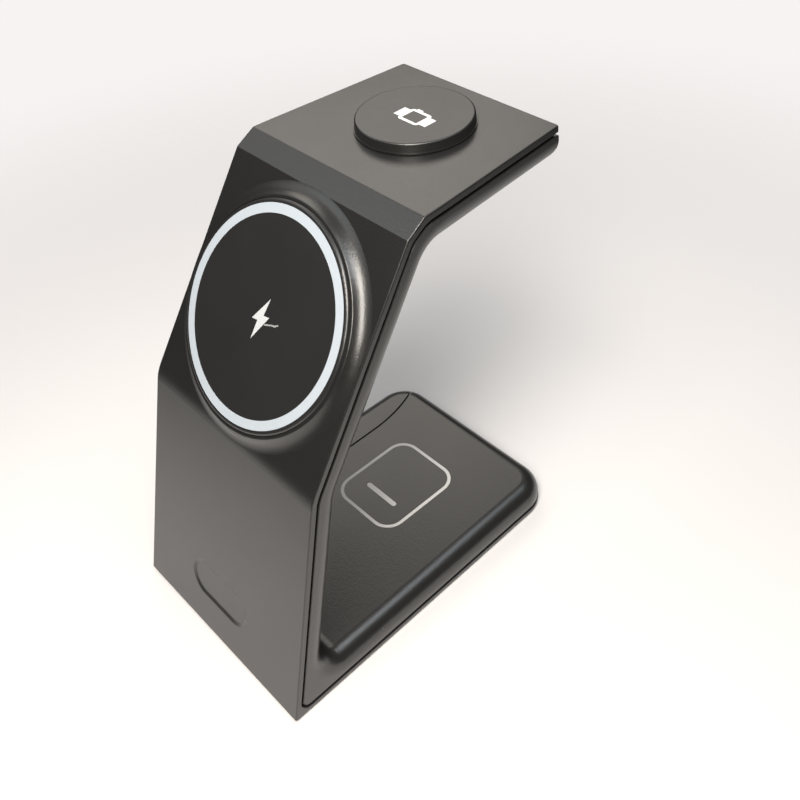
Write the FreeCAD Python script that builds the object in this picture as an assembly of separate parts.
import FreeCAD, Part
import math
import os

# Three-in-one charging stand: a bent outer cover and a hollow C-shaped rear shell round three coils.
# Millimetres and degrees. +Z is up, +Y to the back, and the origin lies under the middle of the footprint.

# Outer facets, from the bottom plate up the front to the shelf
BASE_WIDTH = 76.0
BASE_DEPTH = 112.0
BASE_TAPER = 1.2
SIDE_LEAN = 2.61
LOWER_LENGTH = 77.8
LOWER_LEAN = 16.5
INCLINE_LENGTH = 66.2
INCLINE_LEAN = 35.8
BEVEL_LENGTH = 6.5
BEVEL_LEAN = 60.3
SHELF_LENGTH = 49.6
SHELF_TAPER = 4.64
SHELF_LEAN = 90.0
BODY_DEPTH = 9.7
FOOT_STAND = 0.5

# Walls, seam and clearances
COVER_WALL = 1.75
SHELL_WALL = 2.0
SEAM_GAP = 0.8
TONGUE_WALL = 0.9
SHELL_SET = 0.15
FIT = 0.1

# Rounding
TOE_EDGE_R = 0.6
TOE_INNER_R = 3.0
KNEE_R = 15.0
CREASE_R = 0.8
COVER_EDGE_R = 0.4
SEAM_EDGE = 0.2
BEND_INNER_R = 8.0
BASE_CORNER_R = 10.5
SHELF_CORNER_R = 0.9
REAR_EDGE_R = 5.5
REAR_TOE_R = 6.0
REAR_KNEE_R = 14.0
REAR_PEAK_R = 7.0
SIDE_BEND_R = 150.0

# Phone pad on the incline, in a boss that flares out of the cover
PAD_DROP = 0.5
PAD_R = 29.3
PAD_THICK = 1.4
PAD_FACE = 3.05
PAD_EDGE_R = 0.8
BOSS_FOOT_R = 33.9
BOSS_FOOT_LEAN = 9.0
BOSS_LAND = 0.8
BOSS_EDGE_R = 0.3
BOSS_SINK = 0.9
POCKET_SET = 0.5

# Phone coil module in the pocket behind the boss
TRAY_GAP = 0.6
TRAY_WALL = 1.1
TRAY_FLOOR = 1.4
TRAY_POST_R = 2.2
TRAY_POST_OUT = 17.0
PHONE_COIL_THICK = 1.0
PHONE_COIL_BAND = 11.4
PHONE_COIL_MARGIN = 0.8
PHONE_FERRITE_THICK = 1.0
MAGNET_WIDTH = 4.0
MAGNET_COUNT = 16
MAGNET_GAP = 0.6
MAGNET_MARGIN = 1.0
YOKE_THICK = 0.5

# Watch puck on the shelf, held by a ring under the cover
PUCK_SHIFT = 2.6
PUCK_R = 15.4
PUCK_HEIGHT = 2.9
PUCK_EDGE_R = 0.5
PUCK_DRAFT = 0.25
PUCK_FOOT_HEIGHT = 0.25
PUCK_LIP = 0.25
PUCK_LIP_HEIGHT = 0.35
PUCK_FOOT_SET = 0.9
PUCK_ROOF = 1.0
NECK_R = 13.0
NECK_WALL = 1.2
NECK_DROP = 2.8
LOCK_RING_WIDTH = 2.9
LOCK_RING_THICK = 1.0
WATCH_COIL_BORE_R = 5.6
WATCH_COIL_THICK = 0.9
WATCH_MAGNET_R = 4.6
WATCH_FERRITE_THICK = 1.1
WATCH_BOARD_THICK = 0.8
BACK_PLATE_THICK = 1.1
BACK_PLATE_RIM = 1.2

# Earbud coil under the base top
EARBUD_FROM_BACK = 37.9
EARBUD_COIL_R = 19.0
EARBUD_COIL_BORE_R = 8.0
EARBUD_COIL_THICK = 0.9
EARBUD_FERRITE_MARGIN = 1.0
EARBUD_FERRITE_THICK = 0.8

# Touch spot on the lower front
TOUCH_X = -0.9
TOUCH_UP = 19.0
TOUCH_WIDTH = 26.9
TOUCH_HEIGHT = 12.6
TOUCH_SINK = 0.45
TOUCH_SLOPE = 1.1
TOUCH_BOARD_THICK = 1.0
TOUCH_BOARD_MARGIN = 1.0
TOUCH_CHIP_X = 9.0
TOUCH_CHIP_SIDE = 4.0
TOUCH_CHIP_THICK = 0.9

# Main board and the pieces on it
BOARD_SIDE_GAP = 1.8
BOARD_END_GAP = 1.4
BOARD_THICK = 1.2
BOARD_STAND = 1.2
BOARD_STAND_R = 2.0
BOARD_STAND_INSET = 4.0
CHIP_SIDE = 5.0
CHIP_THICK = 0.9
CHIP_X = 8.0
INDUCTOR_SIDE = 6.0
INDUCTOR_THICK = 2.8
INDUCTOR_X = 16.5
CAPACITOR_LENGTH = 3.2
CAPACITOR_WIDTH = 2.4
CAPACITOR_THICK = 1.6
CAPACITOR_PITCH = 4.0
CAPACITOR_X = 9.0

# Power socket at the back of the board
SOCKET_WIDTH = 9.0
SOCKET_HEIGHT = 3.2
SOCKET_LENGTH = 7.4
SOCKET_WALL = 0.3
SOCKET_BACK_WALL = 1.0
SOCKET_SINK = 1.0
SOCKET_SET_BACK = 0.9
SOCKET_GAP = 0.25
SOCKET_TAB_WIDTH = 1.5
SOCKET_TAB_LENGTH = 3.0
SOCKET_TAB_THICK = 0.4
BLADE_WIDTH = 6.6
BLADE_THICK = 0.7
BLADE_LENGTH = 5.4

# Flat leads along the rear wall, with a plug at each end
LEAD_WIDTH = 5.0
LEAD_THICK = 0.6
LEAD_X = 9.0
PLUG_LENGTH = 5.0
PLUG_WIDTH = 6.4
PLUG_INSET = 1.0
PLUG_GAP = 2.1

# Counterweight, feet and base screws
WEIGHT_GAP = 2.4
WEIGHT_WIDTH = 58.0
WEIGHT_THICK = 4.6
FOOT_X = 26.0
FOOT_FRONT_IN = 24.0
FOOT_FROM_BACK = 15.0
FOOT_R = 5.0
FOOT_SINK = 0.7
SCREW_R = 1.0
SCREW_LENGTH = 5.0
SCREW_HEAD_R = 2.1
SCREW_HEAD = 1.0
SCREW_BOSS_R = 3.2
SCREW_BOSS = 1.4
SCREW_SEAT = 1.0
POST_R = 2.6
POST_ROOT = 0.8

# Fine groove in the base top, straight beside the earbud place and flaring out at the back
GROOVE_X = -23.6
GROOVE_WIDTH = 0.7
GROOVE_SINK = 0.6
GROOVE_START_IN = 24.0
GROOVE_FROM_BACK = 26.0
GROOVE_BEND_R = 57.0

# Extra reach of cutting solids past the faces that they cut
REACH = 8.0

# Tolerances for finding edges, and the share of a run that a rounded corner may take
NEAR = 0.01
RIM_SLACK = 0.3
RIM_SHARE = 0.88
CORNER_SHARE = 0.48


def step(point, lean, length):
    """Point reached by going up a facet that leans back from the vertical"""
    angle = math.radians(lean)
    return point[0] + length * math.sin(angle), point[1] + length * math.cos(angle)


# Corners of the outer face in the side view, as (y, z)
shelf_reach = step(step(step((0, 0), LOWER_LEAN, LOWER_LENGTH), INCLINE_LEAN, INCLINE_LENGTH),
                   BEVEL_LEAN, BEVEL_LENGTH)[0] + SHELF_LENGTH
toe_half_angle = math.radians(90 - LOWER_LEAN) / 2
toe_relief = TOE_EDGE_R * (1 / math.tan(toe_half_angle) - 1)
FRONT_Y = -(max(BASE_DEPTH, shelf_reach) + toe_relief) / 2
TOE = (FRONT_Y, FOOT_STAND)
HEEL = (FRONT_Y + BASE_DEPTH, FOOT_STAND)
KNEE = step(TOE, LOWER_LEAN, LOWER_LENGTH)
BROW = step(KNEE, INCLINE_LEAN, INCLINE_LENGTH)
CREST = step(BROW, BEVEL_LEAN, BEVEL_LENGTH)
TIP = step(CREST, SHELF_LEAN, SHELF_LENGTH)
PEAK = step(KNEE, INCLINE_LEAN, (CREST[1] - KNEE[1]) / math.cos(math.radians(INCLINE_LEAN)))
FRONT_PATH = [HEEL, TOE, KNEE, BROW, CREST, TIP]
REAR_PATH = [HEEL, TOE, KNEE, PEAK, TIP]
CAVITY_DEPTH = BODY_DEPTH - SHELL_WALL
BASE_TOP = FOOT_STAND + BODY_DEPTH
BASE_ROOF = FOOT_STAND + CAVITY_DEPTH
PLATE_TOP = FOOT_STAND + COVER_WALL
SPAN = BASE_WIDTH / 2 + REACH


def at(point, x=0.0):
    return FreeCAD.Vector(x, point[0], point[1])


def meet(line, other):
    """Crossing point of two lines in the side view, each given by two points"""
    (ay, az), (by, bz) = line
    (cy, cz), (dy, dz) = other
    cross = (by - ay) * (dz - cz) - (bz - az) * (dy - cy)
    share = ((cy - ay) * (dz - cz) - (cz - az) * (dy - cy)) / cross
    return ay + share * (by - ay), az + share * (bz - az)


def inset_path(points, depth, end_set=0.0):
    """The same chain of facets, moved into the body by a depth and shortened at its two free ends"""
    lines = []
    for (ay, az), (by, bz) in zip(points, points[1:]):
        length = math.hypot(by - ay, bz - az)
        shift = (depth * (bz - az) / length, depth * (ay - by) / length)
        lines.append(((ay + shift[0], az + shift[1]), (by + shift[0], bz + shift[1])))
    first = (lines[0][0][0] - end_set, lines[0][0][1])
    last = (lines[-1][1][0] - end_set, lines[-1][1][1])
    return [at(p) for p in [first] + [meet(a, b) for a, b in zip(lines, lines[1:])] + [last]]


def rounded(points, radii):
    """Edges along a chain of points, with an arc of the given radius at each inner corner"""
    edges = []
    start = points[0]
    for before, corner, after, radius in zip(points, points[1:], points[2:], radii):
        back = (before - corner).normalize()
        ahead = (after - corner).normalize()
        half_turn = (math.pi - back.getAngle(ahead)) / 2
        room = CORNER_SHARE * min((before - corner).Length, (after - corner).Length)
        radius = min(radius, room / math.tan(half_turn))
        if radius <= 0:
            edges.append(Part.LineSegment(start, corner).toShape())
            start = corner
            continue
        run = radius * math.tan(half_turn)
        inward = (back + ahead).normalize()
        crown = corner + inward * (radius / math.cos(half_turn) - radius)
        edges.append(Part.LineSegment(start, corner + back * run).toShape())
        edges.append(Part.Arc(corner + back * run, crown, corner + ahead * run).toShape())
        start = corner + ahead * run
    edges.append(Part.LineSegment(start, points[-1]).toShape())
    return edges


def front_radii(depth):
    """Bend radii of a face that lies a depth under the outer face"""
    bend = BEND_INNER_R + COVER_WALL - depth
    return [TOE_INNER_R + COVER_WALL - depth, KNEE_R - depth, bend, bend]


def rear_radii(depth):
    """Bend radii of a face that follows the rear of the body, a depth under the outer face"""
    rise = BODY_DEPTH - depth
    return [REAR_TOE_R + rise, REAR_KNEE_R + rise, REAR_PEAK_R + rise]


def slab(edges, other_edges, width):
    """Solid between two chains of edges, symmetric about the middle plane"""
    ends = [(edges[0].Vertexes[0].Point, other_edges[0].Vertexes[0].Point),
            (edges[-1].Vertexes[-1].Point, other_edges[-1].Vertexes[-1].Point)]
    caps = [Part.LineSegment(a, b).toShape() for a, b in ends]
    wire = Part.Wire(Part.sortEdges(edges + other_edges + caps)[0])
    solid = Part.Face(wire).extrude(FreeCAD.Vector(width, 0, 0))
    solid.translate(FreeCAD.Vector(-width / 2, 0, 0))
    return solid


peak_rear = inset_path(REAR_PATH, BODY_DEPTH)[3]
PEAK_REAR = (peak_rear.y, peak_rear.z)


def front_half(point):
    """Half width of the front at a point of the side view"""
    return BASE_WIDTH / 2 - math.tan(math.radians(SIDE_LEAN)) * (point[1] - FOOT_STAND)


def bent_side(corner, crease_end, leg_end, end_half, side_set):
    """Waste beyond the right side: the plane of the front, bent along a crease into the plane of a leg"""
    far = 4 * SPAN
    start = at(corner, front_half(corner) - side_set)
    crease = (at(crease_end, front_half(crease_end) - side_set) - start).normalize()
    arms = [at(KNEE, front_half(KNEE) - side_set) - start, at(leg_end, end_half - side_set) - start]
    arms = [(arm - crease * arm.dot(crease)).normalize() * far for arm in arms]
    out = (arms[0] + arms[1]).normalize() * -far
    tips = [start + arm for arm in arms]
    bend = rounded([tips[0], start, tips[1]], [SIDE_BEND_R])
    rim = Part.makePolygon([tips[1], tips[1] + out, tips[0] + out, tips[0]])
    face = Part.Face(Part.Wire(Part.sortEdges(bend + rim.Edges)[0]))
    face.translate(crease * -far)
    return face.extrude(crease * 2 * far)


def trim_sides(solid, side_set=0.0):
    """Cuts a full-width slab back to its sides, bent to the base below the knee and to the shelf above"""
    far = 8 * SPAN
    lean, taper = math.tan(math.radians(SIDE_LEAN)), math.tan(math.radians(BASE_TAPER))
    toe_crease = (FRONT_Y + BODY_DEPTH * lean / taper, BASE_TOP)
    heel_half = BASE_WIDTH / 2 - taper * BASE_DEPTH
    tip_half = front_half(CREST) - math.tan(math.radians(SHELF_TAPER)) * SHELF_LENGTH
    low = bent_side(TOE, toe_crease, HEEL, heel_half, side_set)
    high = bent_side(CREST, PEAK_REAR, TIP, tip_half, side_set)
    for block, bottom in ((low, KNEE[1] - far), (high, KNEE[1])):
        block = block.common(Part.makeBox(2 * far, 2 * far, far, FreeCAD.Vector(-far, -far, bottom)))
        solid = solid.cut(block)
        solid = solid.cut(block.mirror(FreeCAD.Vector(), FreeCAD.Vector(1, 0, 0)))
    return solid.removeSplitter().Solids[0]


def middle(edge):
    return edge.valueAt((edge.FirstParameter + edge.LastParameter) / 2)


def upright_edges(solid, y):
    """Edges that stand up at a free end of the body, one on each side"""
    found = []
    for edge in solid.Edges:
        rise = abs(edge.Vertexes[0].Point.z - edge.Vertexes[-1].Point.z)
        if abs(middle(edge).y - y) < NEAR and rise > edge.Length / 2:
            found.append(edge)
    return found


def rim(solid, chain):
    """Edges that bound the face along a chain of facets: down both sides and across the two free ends"""
    line = Part.Wire(Part.sortEdges(chain)[0])
    free = (line.Vertexes[0].Point, line.Vertexes[-1].Point)
    found = []
    for edge in solid.Edges:
        mid = middle(edge)
        flat = at((mid.y, mid.z))
        if line.distToShape(Part.Vertex(flat))[0] > RIM_SLACK:
            continue
        at_end = min((flat - p).Length for p in free) < BASE_CORNER_R / 2
        if at_end or abs(mid.x) > RIM_SHARE * front_half((mid.y, mid.z)):
            found.append(edge)
    return found


def body(front_depth, rear_depth, inset, corner_r, edge_r=0.0, seam_edge=0.0):
    """C-shaped solid between two depths, with rounded base corners and, if asked, softened rims"""
    front = rounded(inset_path(FRONT_PATH, front_depth, inset), front_radii(front_depth))
    rear = rounded(inset_path(REAR_PATH, rear_depth, inset), rear_radii(rear_depth))
    solid = trim_sides(slab(front, rear, 2 * SPAN), inset)
    solid = solid.makeFillet(corner_r, upright_edges(solid, HEEL[0] - inset))
    if edge_r:
        solid = solid.makeFillet(edge_r, rim(solid, rear))
    if seam_edge:
        solid = solid.makeChamfer(seam_edge, rim(solid, front))
    return solid


def place(shape, point, lean):
    """Sets a shape that was made flat, face up, on a facet at a point of the side view"""
    shape.rotate(FreeCAD.Vector(), FreeCAD.Vector(1, 0, 0), 90 - lean)
    shape.translate(at(point))
    return shape


PAD_POINT = step(KNEE, INCLINE_LEAN, INCLINE_LENGTH / 2 - PAD_DROP)
PUCK_POINT = step(CREST, SHELF_LEAN, SHELF_LENGTH / 2 + PUCK_SHIFT)
TOUCH_POINT = step(TOE, LOWER_LEAN, TOUCH_UP)
LEAD_FRONT = CAVITY_DEPTH - FIT - LEAD_THICK
LEAD_ROOF = BASE_ROOF - FIT - LEAD_THICK
foot_rows = (FRONT_Y + FOOT_FRONT_IN, HEEL[0] - FOOT_FROM_BACK)
foot_spots = [(x, y) for x in (-FOOT_X, FOOT_X) for y in foot_rows]


def disc(radius, low, high, bore=0.0, x=0.0, y=0.0):
    """Upright cylinder or ring between two heights"""
    solid = Part.makeCylinder(radius, high - low, FreeCAD.Vector(x, y, low))
    if bore:
        solid = solid.cut(Part.makeCylinder(bore, high - low, FreeCAD.Vector(x, y, low)))
    return solid


def brick(x_size, y_size, low, high, x=0.0, y=0.0):
    """Box between two heights, centred on a point"""
    return Part.makeBox(x_size, y_size, high - low, FreeCAD.Vector(x - x_size / 2, y - y_size / 2, low))


def spun(points):
    """Solid of revolution about the vertical, from an outline of (radius, height)"""
    wire = Part.makePolygon([FreeCAD.Vector(r, 0, h) for r, h in points + points[:1]])
    return Part.Face(wire).revolve(FreeCAD.Vector(), FreeCAD.Vector(0, 0, 1), 360)


def obround(width, height, z):
    """Flat outline with two round ends"""
    reach, radius = (width - height) / 2, height / 2
    corners = [FreeCAD.Vector(x, y, z) for x, y in
               ((-reach, radius), (reach, radius), (reach, -radius), (-reach, -radius))]
    return Part.Wire([
        Part.LineSegment(corners[0], corners[1]).toShape(),
        Part.Arc(corners[1], FreeCAD.Vector(reach + radius, 0, z), corners[2]).toShape(),
        Part.LineSegment(corners[2], corners[3]).toShape(),
        Part.Arc(corners[3], FreeCAD.Vector(-reach - radius, 0, z), corners[0]).toShape()])


def socket_bar(width, height, length):
    """Obround bar that runs forward from the mouth of the power socket"""
    bar = Part.Face(obround(width, height, 0)).extrude(FreeCAD.Vector(0, 0, length))
    bar.rotate(FreeCAD.Vector(), FreeCAD.Vector(1, 0, 0), 90)
    return bar


def circles_at(solid, height):
    """Full circular edges at a height, the largest first"""
    circles = [e for e in solid.Edges if isinstance(e.Curve, Part.Circle)]
    found = [e for e in circles if abs(middle(e).z - height) < NEAR]
    return sorted(found, key=lambda e: -e.Curve.Radius)


# Phone pad and the coil module behind it, with heights counted out from the face of the incline
pad_seat = PAD_FACE - PAD_THICK
boss_height = pad_seat + BOSS_SINK
boss_r = PAD_R + FIT + BOSS_LAND
pocket_r = PAD_R - POCKET_SET
pocket_roof = pad_seat - COVER_WALL
tray_r = pocket_r - TRAY_GAP
magnet_r = tray_r - TRAY_WALL - FIT
magnet_bore_r = magnet_r - MAGNET_WIDTH
phone_ferrite_r = magnet_bore_r - MAGNET_MARGIN
phone_coil_r = phone_ferrite_r - PHONE_COIL_MARGIN
phone_coil_back = pocket_roof - PHONE_COIL_THICK
tray_top = phone_coil_back - PHONE_FERRITE_THICK
tray_back = tray_top - TRAY_FLOOR


def flared_boss():
    """Boss whose side rises from a crease on the cover in one concave arc, with a softened top edge"""
    foot = FreeCAD.Vector(BOSS_FOOT_R, 0, 0)
    top = FreeCAD.Vector(boss_r, 0, boss_height)
    chord = top - foot
    chord_lean = math.atan2(boss_height, BOSS_FOOT_R - boss_r)
    half_sweep = chord_lean - math.radians(BOSS_FOOT_LEAN)
    sag = chord.Length / 2 * math.tan(half_sweep / 2)
    inward = FreeCAD.Vector(-math.sin(chord_lean), 0, -math.cos(chord_lean))
    root = -COVER_WALL / 2
    outline = [Part.Arc(foot, foot + chord * 0.5 + inward * sag, top).toShape()]
    outline += Part.makePolygon([top, FreeCAD.Vector(0, 0, boss_height), FreeCAD.Vector(0, 0, root),
                                 FreeCAD.Vector(BOSS_FOOT_R, 0, root), foot]).Edges
    solid = Part.Face(Part.Wire(outline)).revolve(FreeCAD.Vector(), FreeCAD.Vector(0, 0, 1), 360)
    return solid.makeFillet(BOSS_EDGE_R, circles_at(solid, boss_height)[:1])


phone_pad = disc(PAD_R, pad_seat, PAD_FACE)
phone_pad = phone_pad.makeFillet(PAD_EDGE_R, circles_at(phone_pad, PAD_FACE))
phone_coil = disc(phone_coil_r, phone_coil_back, pocket_roof, phone_coil_r - PHONE_COIL_BAND)
phone_ferrite = disc(phone_ferrite_r, tray_top, phone_coil_back)
phone_magnet_yoke = disc(magnet_r, tray_top, tray_top + YOKE_THICK, magnet_bore_r)
phone_coil_tray = disc(tray_r, tray_back, pocket_roof).cut(disc(tray_r - TRAY_WALL, tray_top, pocket_roof))
phone_connector = brick(PLUG_WIDTH, PLUG_LENGTH, -LEAD_FRONT, tray_back, LEAD_X)

magnet_band = disc(magnet_r, tray_top + YOKE_THICK, pocket_roof, magnet_bore_r)
slots = []
for number in range(MAGNET_COUNT):
    slot = Part.makeBox(magnet_r + REACH, MAGNET_GAP, 2 * REACH, FreeCAD.Vector(0, -MAGNET_GAP / 2, -REACH))
    slot.rotate(FreeCAD.Vector(), FreeCAD.Vector(0, 0, 1), 360.0 * number / MAGNET_COUNT)
    slots.append(slot)
phone_magnets = Part.makeCompound(magnet_band.cut(slots).Solids)

# Watch puck and the pieces in it, with heights counted up from the shelf
cup_r = NECK_R - NECK_WALL
cup_roof = PUCK_HEIGHT - PUCK_ROOF
foot_r = PUCK_R - PUCK_FOOT_SET
lip_top = PUCK_FOOT_HEIGHT + PUCK_LIP_HEIGHT
watch_r = cup_r - 2 * FIT
watch_coil_back = cup_roof - WATCH_COIL_THICK
watch_ferrite_back = watch_coil_back - WATCH_FERRITE_THICK
watch_board_back = watch_ferrite_back - WATCH_BOARD_THICK
back_plate_top = BACK_PLATE_THICK - NECK_DROP

watch_puck = spun([(0, PUCK_HEIGHT), (PUCK_R - PUCK_DRAFT, PUCK_HEIGHT), (PUCK_R, lip_top),
                   (PUCK_R + PUCK_LIP, lip_top), (PUCK_R + PUCK_LIP, PUCK_FOOT_HEIGHT),
                   (foot_r, PUCK_FOOT_HEIGHT), (foot_r, 0), (NECK_R, 0), (NECK_R, -NECK_DROP),
                   (cup_r, -NECK_DROP), (cup_r, cup_roof), (0, cup_roof)])
watch_puck = watch_puck.makeFillet(PUCK_EDGE_R, circles_at(watch_puck, PUCK_HEIGHT)[:1])
puck_lock_ring = disc(NECK_R + LOCK_RING_WIDTH, -COVER_WALL - LOCK_RING_THICK, -COVER_WALL, NECK_R + FIT)
watch_coil = disc(watch_r, watch_coil_back, cup_roof, WATCH_COIL_BORE_R)
watch_magnet = disc(WATCH_MAGNET_R, watch_coil_back, cup_roof)
watch_ferrite = disc(watch_r, watch_ferrite_back, watch_coil_back)
watch_board = disc(watch_r, watch_board_back, watch_ferrite_back)
puck_back_plate = disc(watch_r, -NECK_DROP, watch_board_back)
puck_back_plate = puck_back_plate.cut(disc(watch_r - BACK_PLATE_RIM, back_plate_top, watch_board_back))
watch_connector = brick(PLUG_WIDTH, PLUG_LENGTH, -LEAD_FRONT, -NECK_DROP, -LEAD_X)

# Touch board and its pieces, with heights counted out from the face of the lower front
touch_board_back = -COVER_WALL - TOUCH_BOARD_THICK
touch_board = brick(TOUCH_WIDTH + 2 * TOUCH_BOARD_MARGIN, TOUCH_HEIGHT + 2 * TOUCH_BOARD_MARGIN,
                    touch_board_back, -COVER_WALL, TOUCH_X)
touch_chip = brick(TOUCH_CHIP_SIDE, TOUCH_CHIP_SIDE, touch_board_back - TOUCH_CHIP_THICK, touch_board_back,
                   TOUCH_X + TOUCH_CHIP_X)
touch_connector = brick(PLUG_WIDTH, PLUG_LENGTH, -LEAD_FRONT, touch_board_back)

# Pieces that stand on the facets
for piece in (phone_pad, phone_coil, phone_ferrite, phone_magnet_yoke, phone_coil_tray, phone_connector,
              phone_magnets):
    place(piece, PAD_POINT, INCLINE_LEAN)
for piece in (watch_puck, puck_lock_ring, watch_coil, watch_magnet, watch_ferrite, watch_board,
              puck_back_plate, watch_connector):
    place(piece, PUCK_POINT, SHELF_LEAN)
for piece in (touch_board, touch_chip, touch_connector):
    place(piece, TOUCH_POINT, LOWER_LEAN)

# Main board on the bottom plate, with the power socket sunk in a notch at its back edge
board_low = PLATE_TOP + BOARD_STAND
board_high = board_low + BOARD_THICK
board_half = FOOT_X - SCREW_BOSS_R - BOARD_SIDE_GAP
earbud_y = HEEL[0] - EARBUD_FROM_BACK
earbud_ferrite_r = EARBUD_COIL_R + EARBUD_FERRITE_MARGIN
plug_front = earbud_y - earbud_ferrite_r - PLUG_GAP - PLUG_LENGTH
board_front = plug_front - PLUG_INSET
board_back = HEEL[0] - SHELL_WALL - BOARD_END_GAP
board_length = board_back - board_front
socket_mouth = HEEL[0] - SHELL_SET - SOCKET_SET_BACK
socket_end = socket_mouth - SOCKET_LENGTH
socket_low = board_high - SOCKET_SINK
socket_mid = socket_low + SOCKET_HEIGHT / 2
plug_y = plug_front + PLUG_LENGTH / 2

main_board = brick(2 * board_half, board_length, board_low, board_high, 0, (board_front + board_back) / 2)
notch_length = board_back - socket_end + FIT
main_board = main_board.cut(brick(SOCKET_WIDTH + 2 * FIT, notch_length, board_low, board_high,
                                  0, board_back - notch_length / 2))

usb_socket = socket_bar(SOCKET_WIDTH, SOCKET_HEIGHT, SOCKET_LENGTH)
usb_socket = usb_socket.cut(socket_bar(SOCKET_WIDTH - 2 * SOCKET_WALL, SOCKET_HEIGHT - 2 * SOCKET_WALL,
                                       SOCKET_LENGTH - SOCKET_BACK_WALL))
usb_socket.translate(FreeCAD.Vector(0, socket_mouth, socket_mid))
for side in (-1, 1):
    tab_x = side * (SOCKET_WIDTH + SOCKET_TAB_WIDTH - SOCKET_WALL) / 2
    tab = brick(SOCKET_TAB_WIDTH + SOCKET_WALL, SOCKET_TAB_LENGTH, board_high, board_high + SOCKET_TAB_THICK,
                tab_x, socket_end + SOCKET_TAB_LENGTH / 2)
    usb_socket = usb_socket.fuse(tab)
usb_socket = usb_socket.removeSplitter()
blade_back = socket_end + SOCKET_BACK_WALL
usb_tongue = brick(BLADE_WIDTH, BLADE_LENGTH, socket_mid - BLADE_THICK / 2, socket_mid + BLADE_THICK / 2,
                   0, blade_back + BLADE_LENGTH / 2)

control_chips = Part.makeCompound([
    brick(CHIP_SIDE, CHIP_SIDE, board_high, board_high + CHIP_THICK, x, earbud_y)
    for x in (-CHIP_X, CHIP_X)])
power_inductors = Part.makeCompound([
    brick(INDUCTOR_SIDE, INDUCTOR_SIDE, board_high, board_high + INDUCTOR_THICK, x, plug_y)
    for x in (-INDUCTOR_X, INDUCTOR_X)])
capacitor_y = socket_end + CAPACITOR_LENGTH / 2
capacitors = Part.makeCompound([
    brick(CAPACITOR_WIDTH, CAPACITOR_LENGTH, board_high, board_high + CAPACITOR_THICK,
          side * (CAPACITOR_X + CAPACITOR_PITCH * number), capacitor_y)
    for side in (-1, 1) for number in range(3)])
board_connectors = Part.makeCompound([
    brick(PLUG_WIDTH, PLUG_LENGTH, board_high, LEAD_ROOF, x, plug_y) for x in (-LEAD_X, 0, LEAD_X)])

# Earbud coil against the roof of the base
earbud_coil = disc(EARBUD_COIL_R, BASE_ROOF - EARBUD_COIL_THICK, BASE_ROOF, EARBUD_COIL_BORE_R, 0, earbud_y)
earbud_ferrite_top = BASE_ROOF - EARBUD_COIL_THICK
earbud_ferrite = disc(earbud_ferrite_r, earbud_ferrite_top - EARBUD_FERRITE_THICK, earbud_ferrite_top,
                      0, 0, earbud_y)


def lead(count, end, x):
    """Flat lead on the rear wall, from the plugs on the board round a number of bends to an end point"""
    sides = []
    for depth in (LEAD_FRONT, LEAD_FRONT + LEAD_THICK):
        corners = inset_path(REAR_PATH, depth)
        first = FreeCAD.Vector(0, plug_y + PLUG_LENGTH / 2, corners[0].z)
        way = (corners[count + 1] - corners[count]).normalize()
        stop = corners[count] + way * way.dot(at(end) - corners[count])
        sides.append(rounded([first] + corners[1:count + 1] + [stop], rear_radii(depth)))
    strip = slab(sides[0], sides[1], LEAD_WIDTH)
    strip.translate(FreeCAD.Vector(x, 0, 0))
    return strip


touch_lead = lead(1, step(TOUCH_POINT, LOWER_LEAN, PLUG_LENGTH / 2), 0)
phone_lead = lead(2, step(PAD_POINT, INCLINE_LEAN, PLUG_LENGTH / 2), LEAD_X)
watch_lead = lead(3, step(PUCK_POINT, SHELF_LEAN, PLUG_LENGTH / 2), -LEAD_X)

# Counterweight, feet and base screws
weight_front = FRONT_Y + FOOT_FRONT_IN + SCREW_BOSS_R + WEIGHT_GAP
weight_length = board_front - WEIGHT_GAP - weight_front
counterweight = brick(WEIGHT_WIDTH, weight_length, PLATE_TOP, PLATE_TOP + WEIGHT_THICK,
                      0, weight_front + weight_length / 2)
foot_top = FOOT_STAND + FOOT_SINK
boss_top = PLATE_TOP + SCREW_BOSS
seat = boss_top - SCREW_SEAT
foot_pads = Part.makeCompound([disc(FOOT_R, 0, foot_top, 0, x, y) for x, y in foot_spots])
screws = []
for x, y in foot_spots:
    head = disc(SCREW_HEAD_R, seat - SCREW_HEAD, seat, 0, x, y)
    screws.append(head.fuse(disc(SCREW_R, seat, seat + SCREW_LENGTH, 0, x, y)))
base_screws = Part.makeCompound(screws)


# Outer cover: the bent strip with the flared boss, its pocket and seats, the touch spot and screw bosses
outer_edges = rounded(inset_path(FRONT_PATH, 0), [TOE_EDGE_R, KNEE_R, CREASE_R, CREASE_R])
inner_edges = rounded(inset_path(FRONT_PATH, COVER_WALL), front_radii(COVER_WALL))
outer_cover = trim_sides(slab(outer_edges, inner_edges, 2 * SPAN))
outer_cover = outer_cover.makeFillet(BASE_CORNER_R, upright_edges(outer_cover, HEEL[0]))
outer_cover = outer_cover.makeFillet(SHELF_CORNER_R, upright_edges(outer_cover, TIP[0]))
outer_cover = outer_cover.makeFillet(COVER_EDGE_R, rim(outer_cover, outer_edges))
outer_cover = outer_cover.makeChamfer(SEAM_EDGE, rim(outer_cover, inner_edges))
outer_cover = outer_cover.fuse(trim_sides(place(flared_boss(), PAD_POINT, INCLINE_LEAN), COVER_EDGE_R))
pocket = disc(pocket_r, -COVER_WALL - FIT, pocket_roof)
pad_recess = disc(PAD_R + FIT, pad_seat, boss_height + REACH)
puck_hole = disc(NECK_R + FIT, -COVER_WALL - FIT, REACH)
touch_floor = obround(TOUCH_WIDTH - 2 * TOUCH_SLOPE, TOUCH_HEIGHT - 2 * TOUCH_SLOPE, -TOUCH_SINK)
touch_recess = Part.makeLoft([touch_floor, obround(TOUCH_WIDTH, TOUCH_HEIGHT, 0)], True, True)
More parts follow.
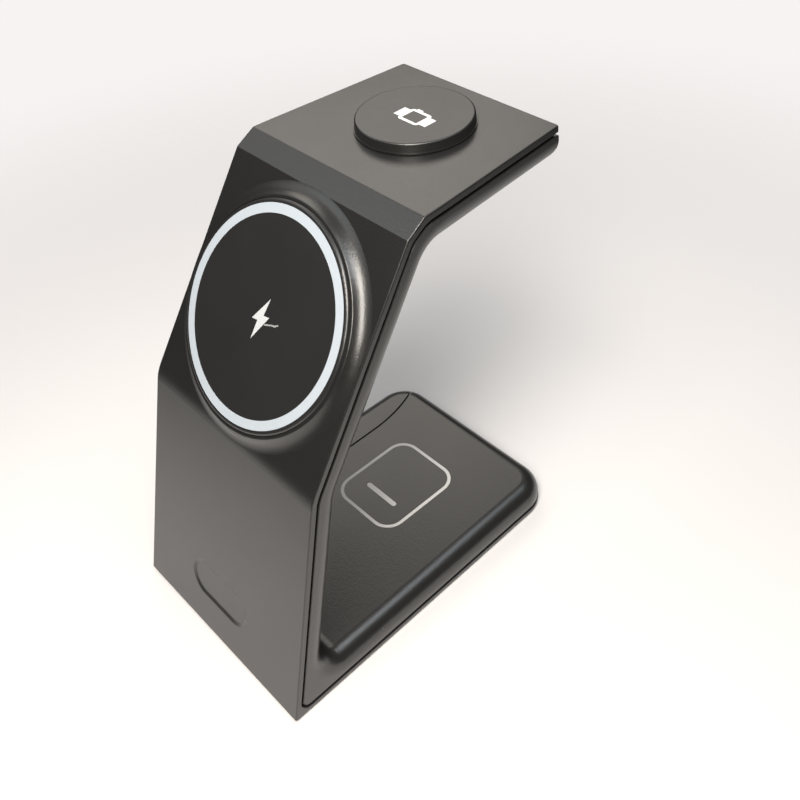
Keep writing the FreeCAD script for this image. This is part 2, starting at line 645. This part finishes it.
touch_recess.translate(FreeCAD.Vector(TOUCH_X, 0, 0))
outer_cover = outer_cover.cut([
    place(pocket, PAD_POINT, INCLINE_LEAN), place(pad_recess, PAD_POINT, INCLINE_LEAN),
    place(puck_hole, PUCK_POINT, SHELF_LEAN), place(touch_recess, TOUCH_POINT, LOWER_LEAN)])
stand_x = board_half - BOARD_STAND_INSET
stand_rows = (board_front + BOARD_STAND_INSET, board_back - BOARD_STAND_INSET)
stand_spots = [(x, y) for x in (-stand_x, stand_x) for y in stand_rows]
raised = [disc(BOARD_STAND_R, PLATE_TOP - POST_ROOT, board_low, 0, x, y) for x, y in stand_spots]
raised += [disc(SCREW_BOSS_R, PLATE_TOP - POST_ROOT, boss_top, 0, x, y) for x, y in foot_spots]
outer_cover = outer_cover.fuse(raised)
holes = []
for x, y in foot_spots:
    holes.append(disc(FOOT_R + FIT, -REACH, foot_top, 0, x, y))
    holes.append(disc(SCREW_HEAD_R + FIT, 0, seat, 0, x, y))
    holes.append(disc(SCREW_R + 2 * FIT, 0, boss_top + REACH, 0, x, y))
outer_cover = outer_cover.cut(holes).removeSplitter()

# Rear shell: a hollow moulded C with a rolled rear edge and a tongue that laps the cover inside the seam
rim_depth = COVER_WALL + SEAM_GAP
rear_shell = body(rim_depth, BODY_DEPTH, SHELL_SET, BASE_CORNER_R, REAR_EDGE_R, SEAM_EDGE)
wall_set = SHELL_SET + SHELL_WALL
cavity = body(COVER_WALL / 2, CAVITY_DEPTH, wall_set, BASE_CORNER_R - SHELL_WALL, REAR_EDGE_R - SHELL_WALL)
tongue_set = wall_set - TONGUE_WALL
tongue = body(COVER_WALL + FIT, BODY_DEPTH - REAR_EDGE_R, tongue_set, BASE_CORNER_R - tongue_set)
rear_shell = rear_shell.fuse(tongue).cut(cavity)
posts = [disc(POST_R, boss_top, BASE_ROOF + POST_ROOT, 0, x, y) for x, y in foot_spots]
for x in (-TRAY_POST_OUT, TRAY_POST_OUT):
    for y in (-TRAY_POST_OUT, TRAY_POST_OUT):
        post = disc(TRAY_POST_R, -CAVITY_DEPTH - POST_ROOT, tray_back, 0, x, y)
        posts.append(place(post, PAD_POINT, INCLINE_LEAN))
rear_shell = rear_shell.fuse(posts)
pilots = [disc(SCREW_R + FIT, boss_top - REACH, seat + SCREW_LENGTH + FIT, 0, x, y) for x, y in foot_spots]
mouth = socket_bar(SOCKET_WIDTH + 2 * SOCKET_GAP, SOCKET_HEIGHT + 2 * SOCKET_GAP, SHELL_WALL + 2 * REACH)
mouth.translate(FreeCAD.Vector(0, HEEL[0] + REACH, socket_mid))
rear_shell = rear_shell.cut(pilots + [mouth])


def groove():
    """Straight cut that turns outward in an arc towards the back edge"""
    low = BASE_TOP - GROOVE_SINK
    start, turn = FRONT_Y + GROOVE_START_IN, HEEL[0] - GROOVE_FROM_BACK
    hub = FreeCAD.Vector(GROOVE_X - GROOVE_BEND_R, turn, low)
    sweep = math.asin(GROOVE_FROM_BACK / GROOVE_BEND_R)
    corner = FreeCAD.Vector(GROOVE_X - GROOVE_WIDTH / 2, start, low)
    straight = Part.makeBox(GROOVE_WIDTH, turn - start, REACH, corner)
    inner_r, outer_r = GROOVE_BEND_R - GROOVE_WIDTH / 2, GROOVE_BEND_R + GROOVE_WIDTH / 2
    up = FreeCAD.Vector(0, 0, 1)
    ring = Part.makeCylinder(outer_r, REACH, hub, up, math.degrees(sweep))
    return straight, ring.cut(Part.makeCylinder(inner_r, REACH, hub))


rear_shell = rear_shell.cut(list(groove()))

NODES = {
    "outer_cover": outer_cover, "rear_shell": rear_shell, "phone_pad": phone_pad,
    "phone_coil_tray": phone_coil_tray, "phone_magnets": phone_magnets,
    "phone_magnet_yoke": phone_magnet_yoke, "phone_coil": phone_coil, "phone_ferrite": phone_ferrite,
    "phone_connector": phone_connector, "phone_lead": phone_lead, "watch_puck": watch_puck,
    "puck_lock_ring": puck_lock_ring, "watch_coil": watch_coil, "watch_magnet": watch_magnet,
    "watch_ferrite": watch_ferrite, "watch_board": watch_board, "puck_back_plate": puck_back_plate,
    "watch_connector": watch_connector, "watch_lead": watch_lead, "earbud_coil": earbud_coil,
    "earbud_ferrite": earbud_ferrite, "main_board": main_board, "control_chips": control_chips,
    "power_inductors": power_inductors, "capacitors": capacitors, "board_connectors": board_connectors,
    "usb_socket": usb_socket, "usb_tongue": usb_tongue, "touch_board": touch_board,
    "touch_chip": touch_chip, "touch_connector": touch_connector, "touch_lead": touch_lead,
    "counterweight": counterweight, "foot_pads": foot_pads, "base_screws": base_screws,
}
os.makedirs("parts", exist_ok=True)
for name, shape in NODES.items():
    shape.exportStep("parts/" + name + ".step")
